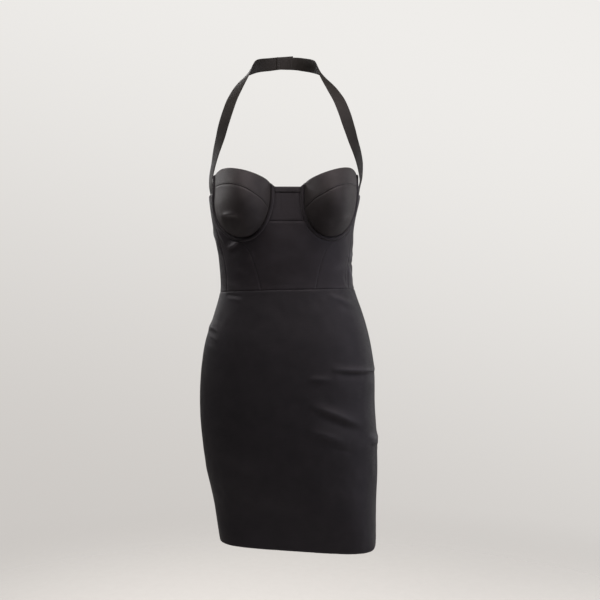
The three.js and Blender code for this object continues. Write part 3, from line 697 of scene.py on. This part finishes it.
def patchy(name, patch_mm, detail, tones, relief, gloss, sockets):
    """A material whose tone and relief vary in patches, and its roughness too if it has two ends."""
    made = bpy.data.materials.new(name)
    tree = empty_tree(made)
    place = add_node(tree, "ShaderNodeTexCoord").outputs["Object"]
    noise = {"Vector": place, "Scale": 1000 / patch_mm, "Detail": detail}
    patches = add_node(tree, "ShaderNodeTexNoise", noise).outputs[0]
    bump = add_node(tree, "ShaderNodeBump", {"Strength": relief, "Distance": 0.0001, "Height": patches})
    rough = rescale(tree, patches, (0, 1), gloss) if isinstance(gloss, tuple) else gloss
    face = {"Base Color": blend(tree, patches, *tones), "Roughness": rough, "Normal": bump.outputs[0]}
    shader = add_node(tree, "ShaderNodeBsdfPrincipled", {**face, **sockets})
    add_node(tree, "ShaderNodeOutputMaterial", {"Surface": shader.outputs[0]})
    return made


# Spun polyester thread in the cloth's own black is rounder and a little shinier than the satin. Its
# two plies turn about every 0.6 mm.
thread = patchy(
    "black spun polyester thread", patch_mm=0.6, detail=1, tones=("#262327", "#3f3b3e"), relief=0.4,
    gloss=0.45, sockets={"IOR": 1.5, "Sheen Weight": 0.2},
)


def stitched(
    name, rows, pitch=3.2, long=2.4, wide=0.5, lie=None, material=thread,
):
    """One piece with stitches along each row of places in mm, a run of thread for each row."""
    points, edges, ways = [], [], []
    for row in rows:
        first = len(points)
        points.extend(in_metres(row))
        edges.extend((first + i, first + i + 1) for i in range(len(row) - 1))
        ways.append(np.gradient(row, axis=0) if lie is None else np.broadcast_to(lie, row.shape))
    mesh = bpy.data.meshes.new(f"{name}_rows")
    mesh.from_pydata(points, edges, [])
    write(mesh, "lie", np.concatenate(ways))
    made = add_object(name, mesh)
    nodes = made.modifiers.new("stitches", "NODES")
    nodes.node_group = stitch_rows
    given = {"Pitch": pitch / 1000, "Long": long / 1000, "Wide": wide / 1000, "Thread": material}
    for item in stitch_rows.interface.items_tree:
        if item.name in given:
            nodes[item.identifier] = given[item.name]
    sewn_mesh = bpy.data.meshes.new_from_object(made.evaluated_get(bpy.context.evaluated_depsgraph_get()))
    made.modifiers.clear()
    made.data = sewn_mesh
    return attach(made, "dress")


# Shares across a band, close together where it bends down to its edges.
DOME_ROWS = np.array(
    [0, 0.03, 0.08, 0.14, 0.2, 0.28, 0.37, 0.46, 0.54, 0.63, 0.72, 0.8, 0.86, 0.92, 0.97, 1]
)
CASING_INSET, ARM_INSET = 1.35, 5  # mm from an edge to its stitches
for side, _, turned in SIDES:
    casing = sewn(
        f"wire_casing_{side}", casing_satin, turned(casing_place),
        shares(300, 1.9, (0, GORE_END, ARM_START, 1)), DOME_ROWS, face=casing_dome, free=("left", "right"),
        phase=0.3, grain=45, pucker=0.1, swell=0.12,
    )
    seams = [casing.beside(edge, CASING_INSET, 0.1) for edge in ("top", "foot")]
    both = stitched(f"casing_stitches_{side}", seams, pitch=2.9, long=2.2, wide=0.45)
    arm_rows = [cloths[f"{panel}_{side}"].beside("top", ARM_INSET) for panel in ("side_panel", "back")]
    stitched(f"arm_stitches_{side}", arm_rows, wide=0.42)

# Cups
# Each cup is an upper and a lower piece over a moulded foam cup, joined by a seam that rises towards
# the arm. The upper edge is turned in and topstitched, and makes the sweetheart neckline.
# The cups are the same black satin as the bodice, painted lighter: painted light, for the light they catch
# from above and in front.
cup_satin_painted_light = satin("black stretch satin, cups, painted lighter", "#2a2728", "#353132", rough=0.62, shine=0.2, sheen=0.07)
CUP_SEAM = (
    tuple(float(v) for v in casing_line(CUP_SEAM_IN, 1)), (45, 158), (62, 168.5), (80, 177.5), (98, 184),
    (116, 188), tuple(float(v) for v in casing_line(CUP_SEAM_OUT, 1)),
)
LOWER_START, LOWER_END = 0.21, 0.86
CUP_CREASES = (
    (-117, 133, -86, 130.5, 3.6, 1.3, 3.2, 1), (-112, 127.5, -84, 124.5, 1.6, 9, -2.6, 1),
    (-121, 146, -115, 120, 2.5, 3, 0.8, 1), (-117, 120, -104, 104, 3, 3, 0.7, 1),
    (-60, 130, -46, 116, 5, 5, 0.5, 1), (56, 128, 84, 108, 5, 5, 0.5, 2),
    (96, 122, 118, 134, 5, 4, 0.6, 1), (44, 140, 52, 124, 3, 3, 0.5, 0),
)


def cup_edge(rows, start, end):
    """A line across a cup, along rows of places across and heights."""

    def edge(share):
        x = mix(start, end, share)
        return on_front(x, curve(rows, 0, x)[..., 1])

    return edge


cup_seam_edge = cup_edge(CUP_SEAM, CUP_SEAM[0][0], CUP_SEAM[-1][0])
cup_top_edge = cup_edge(NECKLINE, *(float(casing_line(end, 1)[0]) for end in (0, 1)))
upper_cup_place = between(
    cup_top_edge, cup_seam_edge, casing_edge(0, CUP_SEAM_IN, 1), casing_edge(1, CUP_SEAM_OUT, 1)
)
lower_cup_even = between(
    cup_seam_edge, casing_edge(LOWER_START, LOWER_END, 1),
    casing_edge(CUP_SEAM_IN, LOWER_START, 1), casing_edge(CUP_SEAM_OUT, LOWER_END, 1),
)


def lower_cup_place(s, t):
    return lower_cup_even(s, 1 - (1 - t) ** 1.3)


for side, _, turned in SIDES:
    upper = sewn(
        f"upper_cup_{side}", cup_satin_painted_light, turned(upper_cup_place),
        shares(112, 1.7), shares(32, 1.5), cups=True, free=("top",), tucked=("left", "right"),
        creases=CUP_CREASES, phase=1.1, grain=18, pucker=0.1, swell=0.2,
    )
    lower = sewn(
        f"lower_cup_{side}", cup_satin_painted_light, turned(lower_cup_place),
        shares(112, 1.7), shares(80, 1.7), cups=True, tucked=("left", "right", "foot"), creases=CUP_CREASES,
        phase=2.2, grain=-12, pucker=0.12, swell=0.3,
    )
    # The neckline is topstitched, and the seam edge-stitched on the upper piece.
    rows = [upper.beside("top", 2.2), upper.beside("foot", 1.9)]
    cup_rows = stitched(f"cup_stitches_{side}", rows, pitch=3, wide=0.42)

# Gore and its band
# The gore is the flat piece between the cups. Its top edge is bound with a folded band of the same
# satin, which is edge-stitched above and below.
def gore_place(s, t):
    x, z = casing_line(mix(0, GORE_FOOT, t), 0)
    return on_front(mix(-x, x, s), z)


BAND_WIDE, BAND_SHORT = 10, 0.3  # mm up and down, and how far each end stays from the neckline's corner


def gore_band_place(s, t):
    x, z = casing_line(0, 0)
    return on_front(mix(-1, 1, s) * (float(x) - BAND_SHORT), float(z) - BAND_WIDE * t)


GORE_CREASES = ((-13, 176, -12, 132, 1.5, 1.5, -0.25, 0), (12, 176, 13, 134, 1.5, 1.5, -0.2, 0))
gore = sewn(
    "gore", bodice_satin, gore_place, shares(46, 1.4), shares(66, 1.5),
    free=("top",), creases=GORE_CREASES, phase=0.7, pucker=0.12, swell=0.2,
)
band = sewn(
    "gore_band", casing_satin, gore_band_place, shares(46, 1.4), DOME_ROWS,
    face=lambda s, t: 1.3 + 0.25 * np.sin(np.pi * t), back=-1.0, free=("top", "foot", "left", "right"),
    phase=0.2, grain=90, pucker=0.05, swell=0.1,
)
band_rows = stitched(
    "band_stitches", [band.beside(edge, 1.6) for edge in ("top", "foot")], pitch=3, wide=0.42
)

# Skirt
# A front and two backs of a heavier cut of the same satin, joined at the sides and at the centre back.
# The foot is turned up 26 mm and blind-stitched inside. The stance drags folds across the left thigh.
skirt_satin = satin("black stretch satin, skirt", "#121114", "#1b191c", rough=0.6, shine=0.33, sheen=0.05)
SKIRT_LONG, HEM_DEEP, HEM_THICK, HEM_STEP, HEM_INSET = 466, 26, 2.6, 1.2, 1.6
SKIRT_CREASES = (
    (84, -143.5, 170, -148.5, 5, 2.2, 1.3, 0), (92, -150, 170, -153, 2, 6, -0.9, 0),
    (42, -159, 84, -161, 4, 2.5, 0.7, 1), (50, -206, 140, -243, 5, 3.5, 0.9, 2),
    (58, -220, 138, -253, 4, 6, -0.5, 2), (46, -250, 110, -273, 6, 4, 0.7, 2),
    (84, -279, 122, -289, 3, 5, -0.8, 0), (148, -262, 171, -276, 5, 4, 1.2, 0),
    (150, -281, 171, -291, 2.5, 4, -1.3, 0), (70, -9, 120, -29, 4, 5, 0.8, 1),
    (84, -34, 122, -50, 6, 7, 0.5, 2), (-114, -5, -84, -11, 2.5, 3, -1.1, 0),
    (-112, -11, -82, -17, 3, 4, 1, 1), (-148, -66, -126, -74, 3, 3, 1, 0),
    (-150, -80, -126, -92, 4, 4, 0.8, 1), (-152, -98, -122, -112, 5, 6, 0.5, 1),
    (-120, -300, -40, -330, 14, 14, 0.5, 4), (-60, -380, 40, -396, 16, 16, 0.4, 3),
    (60, -350, 150, -372, 12, 14, 0.5, 3),
)
SEAT_CREASES = (
    (-92, -22, -10, -34, 6, 8, 1.3, 6), (-104, -44, -26, -56, 7, 9, -0.9, 5),
    (8, -18, 78, -30, 6, 8, 1.1, 5), (30, -46, 110, -62, 7, 9, 1, 6),
    (-146, -196, -50, -222, 9, 7, 1.4, -6), (-140, -226, -44, -244, 8, 8, -0.9, -5),
    (40, -200, 150, -230, 9, 7, 1.5, -6), (52, -232, 146, -258, 8, 9, -1, -5),
    (-130, -330, -30, -352, 12, 12, 0.7, 3), (30, -312, 140, -340, 12, 12, 0.8, 3),
)


def skirt_place(start, end):
    return lambda s, t: (mix(start, end, s), -SKIRT_LONG * t)


def skirt_back(s, t, z):
    """The inner face, which steps inwards where the hem is turned up."""
    hem_share = np.clip((-z - (SKIRT_LONG - HEM_DEEP)) / HEM_STEP, 0, 1)
    return -mix(CLOTH_THICK, HEM_THICK, hem_share)


down = shares(SKIRT_LONG, 2.5, (0, 1 - HEM_DEEP / SKIRT_LONG, 1))
skirt = sewn(
    "skirt_front", skirt_satin, skirt_place(-90, 90), shares(420, 2.5), down, slot_name="skirt_cloth",
    back=skirt_back, free=("foot",), creases=SKIRT_CREASES, phase=1.3, swell=0.55, deep={"top": 0.35},
)
hem_rows = [skirt.beside("foot", HEM_DEEP - HEM_INSET, 0.1, inner=True)]
for side, _, turned in SIDES:
    seat = sewn(
        f"skirt_back_{side}", skirt_satin, turned(skirt_place(90, 180)), shares(215, 2.5), down,
        slot_name="skirt_cloth", back=skirt_back, free=("foot",), creases=SEAT_CREASES, phase=2.6, swell=0.55,
    )
    hem_rows.append(seat.beside("foot", HEM_DEEP - HEM_INSET, 0.1, inner=True))
hem = stitched("hem_stitches", hem_rows, pitch=7, long=3.2, wide=0.42)

# Halter straps
# Two flat tubes of doubled satin, sewn inside the bodice at the arm. They run up the chest and round
# the neck, where the right one is lapped over the left one and sewn down.
strap_satin = satin(
    "black doubled satin, straps", "#1b1916", "#24211e", rough=0.66, shine=0.22, sheen=0.02, relief=0.3
)
STRAP_WIDE, STRAP_THICK, STRAP_PUFF, STRAP_POINTS = 25, 1.4, 0.22, 261
STRAP_FOOT = ((80.5, 166, 4.6), (79.8, 178, 4.4), (78.9, 192, 2.4))  # angle round, height, how far sunk
# Each strap's middle line, then where its outer face looks: degrees from ahead, and degrees upwards.
RIGHT_STRAP = (
    (-142.8, -32.2, 210, 70, 0), (-137.2, -43.5, 230, 66, 2), (-131.2, -51.5, 252, 55, 5),
    (-123.2, -55.5, 279, 41, 9), (-116, -54, 307, 33, 15), (-109.3, -48, 331, 31, 24),
    (-102.8, -37, 354, 32, 34), (-93.5, -22, 378, 38, 42), (-81.5, -2, 404, 56, 38),
    (-71.5, 21, 425, 82, 22), (-59, 48, 441, 112, 8), (-36.7, 70.7, 450.5, 140, 2),
    (-21.8, 79.2, 454.6, 160, 0), (-5, 82.3, 457, 180, 0), (9, 80.3, 457.4, 196.6, 0),
)
LEFT_STRAP = (
    (137.4, -17.5, 210, 73, 0), (135.2, -31, 230, 59, 2), (129, -43.5, 252, 48, 5),
    (120.2, -52, 276, 37, 8), (111.3, -54, 303, 26, 12), (104, -49.5, 327, 22, 16),
    (94.8, -38, 353, 22, 24), (82.8, -22, 377, 30, 37), (68.6, -2, 403, 54, 38),
    (58.5, 20, 425, 86, 22), (47, 48, 440, 114, 8), (25.2, 69, 450, 140, 2),
    (11, 77.2, 453.6, 160, 0), (-5, 80, 455, 180, 0), (-23, 76.4, 454.4, 202.5, 0),
)


def strap_frames(rows, way):
    """A strap's middle line with the directions across it and out of its outer face."""
    foot = []
    for angle, z, sunk in STRAP_FOOT:
        look = outward(np.float64(way * angle), np.float64(z), False)
        at = surface(np.float64(way * angle), np.float64(z), False) - look * sunk
        foot.append((at[0], at[1], z, math.degrees(math.atan2(way * look[0], -look[1])), 0))
    rows = [(i, *row) for i, row in enumerate([*foot, *rows])]
    found = curve(rows, 0, np.linspace(0, len(rows) - 1, STRAP_POINTS))
    round_it, up = way * np.radians(found[:, 4]), np.radians(found[:, 5])
    look = np.stack([np.sin(round_it) * np.cos(up), -np.cos(round_it) * np.cos(up), np.sin(up)], axis=-1)
    line = found[:, 1:4]
    along = unit(np.gradient(line, axis=0))
    across = unit(np.cross(along, look))
    return line, across, unit(np.cross(across, along))


def run_along(line):
    return np.r_[0, np.cumsum(np.linalg.norm(np.diff(line, axis=0), axis=-1))]


def flat_tube(name, line, across, out, phase):
    """A closed flat tube of cloth round a middle line: two flat faces with pressed, rounded edges."""
    steps, count = len(line), 36
    turn = np.linspace(0, 2 * np.pi, count, endpoint=False)
    wide = np.sign(np.cos(turn)) * np.abs(np.cos(turn)) ** 0.55 * STRAP_WIDE / 2
    thick = np.sign(np.sin(turn)) * np.abs(np.sin(turn)) ** 0.4 * STRAP_THICK / 2
    run = run_along(line)
    # Away from its sewn ends the strap waves and sways a little.
    loose = np.clip(np.minimum(run, run[-1] - run) / 60, 0, 1)
    wave = 0.35 * waver(run, 47, phase) * loose
    sway = 0.25 * waver(run, 90, phase + 1) * loose
    middle = 1 - (wide / (STRAP_WIDE / 2)) ** 2
    puff = wave[:, None] * middle + STRAP_PUFF * middle * np.sign(thick)
    points = (
        line[:, None] + across[:, None] * (wide + sway[:, None])[..., None]
        + out[:, None] * (thick + puff)[..., None]
    )
    number = np.arange(steps * count).reshape(steps, count)
    after = np.roll(number, -1, axis=1)
    sides = np.stack([number[:-1], after[:-1], after[1:], number[1:]], axis=-1).reshape(-1, 4).tolist()
    faces = [*sides, number[0][::-1].tolist(), number[-1].tolist()]
    mesh = bpy.data.meshes.new(name)
    mesh.from_pydata(in_metres(points.reshape(-1, 3)), [], faces)
    mesh.shade_smooth()
    mesh.set_sharp_from_angle(angle=math.radians(60))
    spread = np.broadcast_arrays(wide, run[:, None], STRAP_WIDE / 2 - np.abs(wide))
    write(mesh, "weave_mm", np.stack(spread, axis=-1).reshape(-1, 3))
    mesh.materials.append(strap_satin)
    return add_object(name, mesh)


straps, lap_rows = {}, []
over = np.linspace(-10, 10, 15)[:, None]
proud = STRAP_THICK / 2 + 0.08 + STRAP_PUFF * (1 - (over / (STRAP_WIDE / 2)) ** 2)
for side, rows, way in (("right", RIGHT_STRAP, -1), ("left", LEFT_STRAP, 1)):
    line, across, out = strap_frames(rows, way)
    strap = straps[side] = flat_tube(f"halter_{side}_strap", line, across, out, phase=1.4 * way)
    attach(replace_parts(strap, f"halter_{side}"), "dress")
    # Two rows of stitches go through the lap, seen on its outer face and on its inner one. Two more
    # sew the foot down inside the bodice.
    run, late = run_along(line), len(line) - 60
    spots = [(late + int(np.argmin(np.abs(line[late:, 0] - x))), way) for x in (6, -20)]
    spots += [(int(np.argmin(np.abs(run - up_it))), 1) for up_it in (5, 17)]
    for i, face_way in spots:
        lap_rows.append(line[i] + across[i] * over - out[i] * face_way * proud)
lap = stitched("strap_stitches", lap_rows, pitch=3, wide=0.45)

# Zip
# A fine zip closes the centre back, from its top to below the waist. Its tapes lie inside the two
# backs and are sewn to their turnings, and its teeth, slider and pull are lacquered black.
# Lacquer glints like a small dark mirror. Handling wears it in patches about 2 mm across.
lacquer = patchy(
    "black lacquered zinc", patch_mm=2, detail=4, tones=("#18181a", "#2b2b2d"), relief=0.2,
    gloss=(0.22, 0.42), sockets={"Metallic": 0.6, "Coat Weight": 0.5, "Coat Roughness": 0.2},
)
ZIP_TOP, ZIP_FOOT, TAPE_WIDE, TAPE_GAP, TOOTH_PITCH = 144, -158, 12, 0.3, 1.7


def tape_place(s, t):
    z = mix(ZIP_TOP, ZIP_FOOT, t)
    half = curve(BODY_RINGS, 0, z)[..., 2]
    return 180 - np.degrees(np.arcsin(mix(TAPE_WIDE, TAPE_GAP, s) / half)), z


for side, way, turned in SIDES:
    tape = Cloth(
        f"zip_tape_{side}", turned(tape_place), np.linspace(0, 1, 9), shares(300, 3), face=-2.0, back=-2.5,
        free=("left", "right", "top", "foot"), pucker=0, swell=0,
    )
    tape.object.data.materials.append(bodice_satin)
    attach(tape.object, "dress")
    edge = "right" if way > 0 else "left"
    tape_rows = stitched(f"tape_stitches_{side}", [tape.beside(edge, 8, 0.1, inner=True)], wide=0.42)
    teeth_line = tape.beside(edge, 0.6, 0.35, inner=True)
    first = 6 if way > 0 else 5  # one side starts higher, so that the teeth come between each other
    teeth = stitched(
        f"zip_teeth_{side}", [teeth_line[first:-3]], pitch=TOOTH_PITCH, long=1.9, wide=0.8,
        lie=(1.0, 0.0, 0.0), material=lacquer,
    )
for name in ("zip_slider", "zip_pull"):
    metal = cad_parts[name]
    metal.data.materials.clear()
    metal.data.materials.append(lacquer)
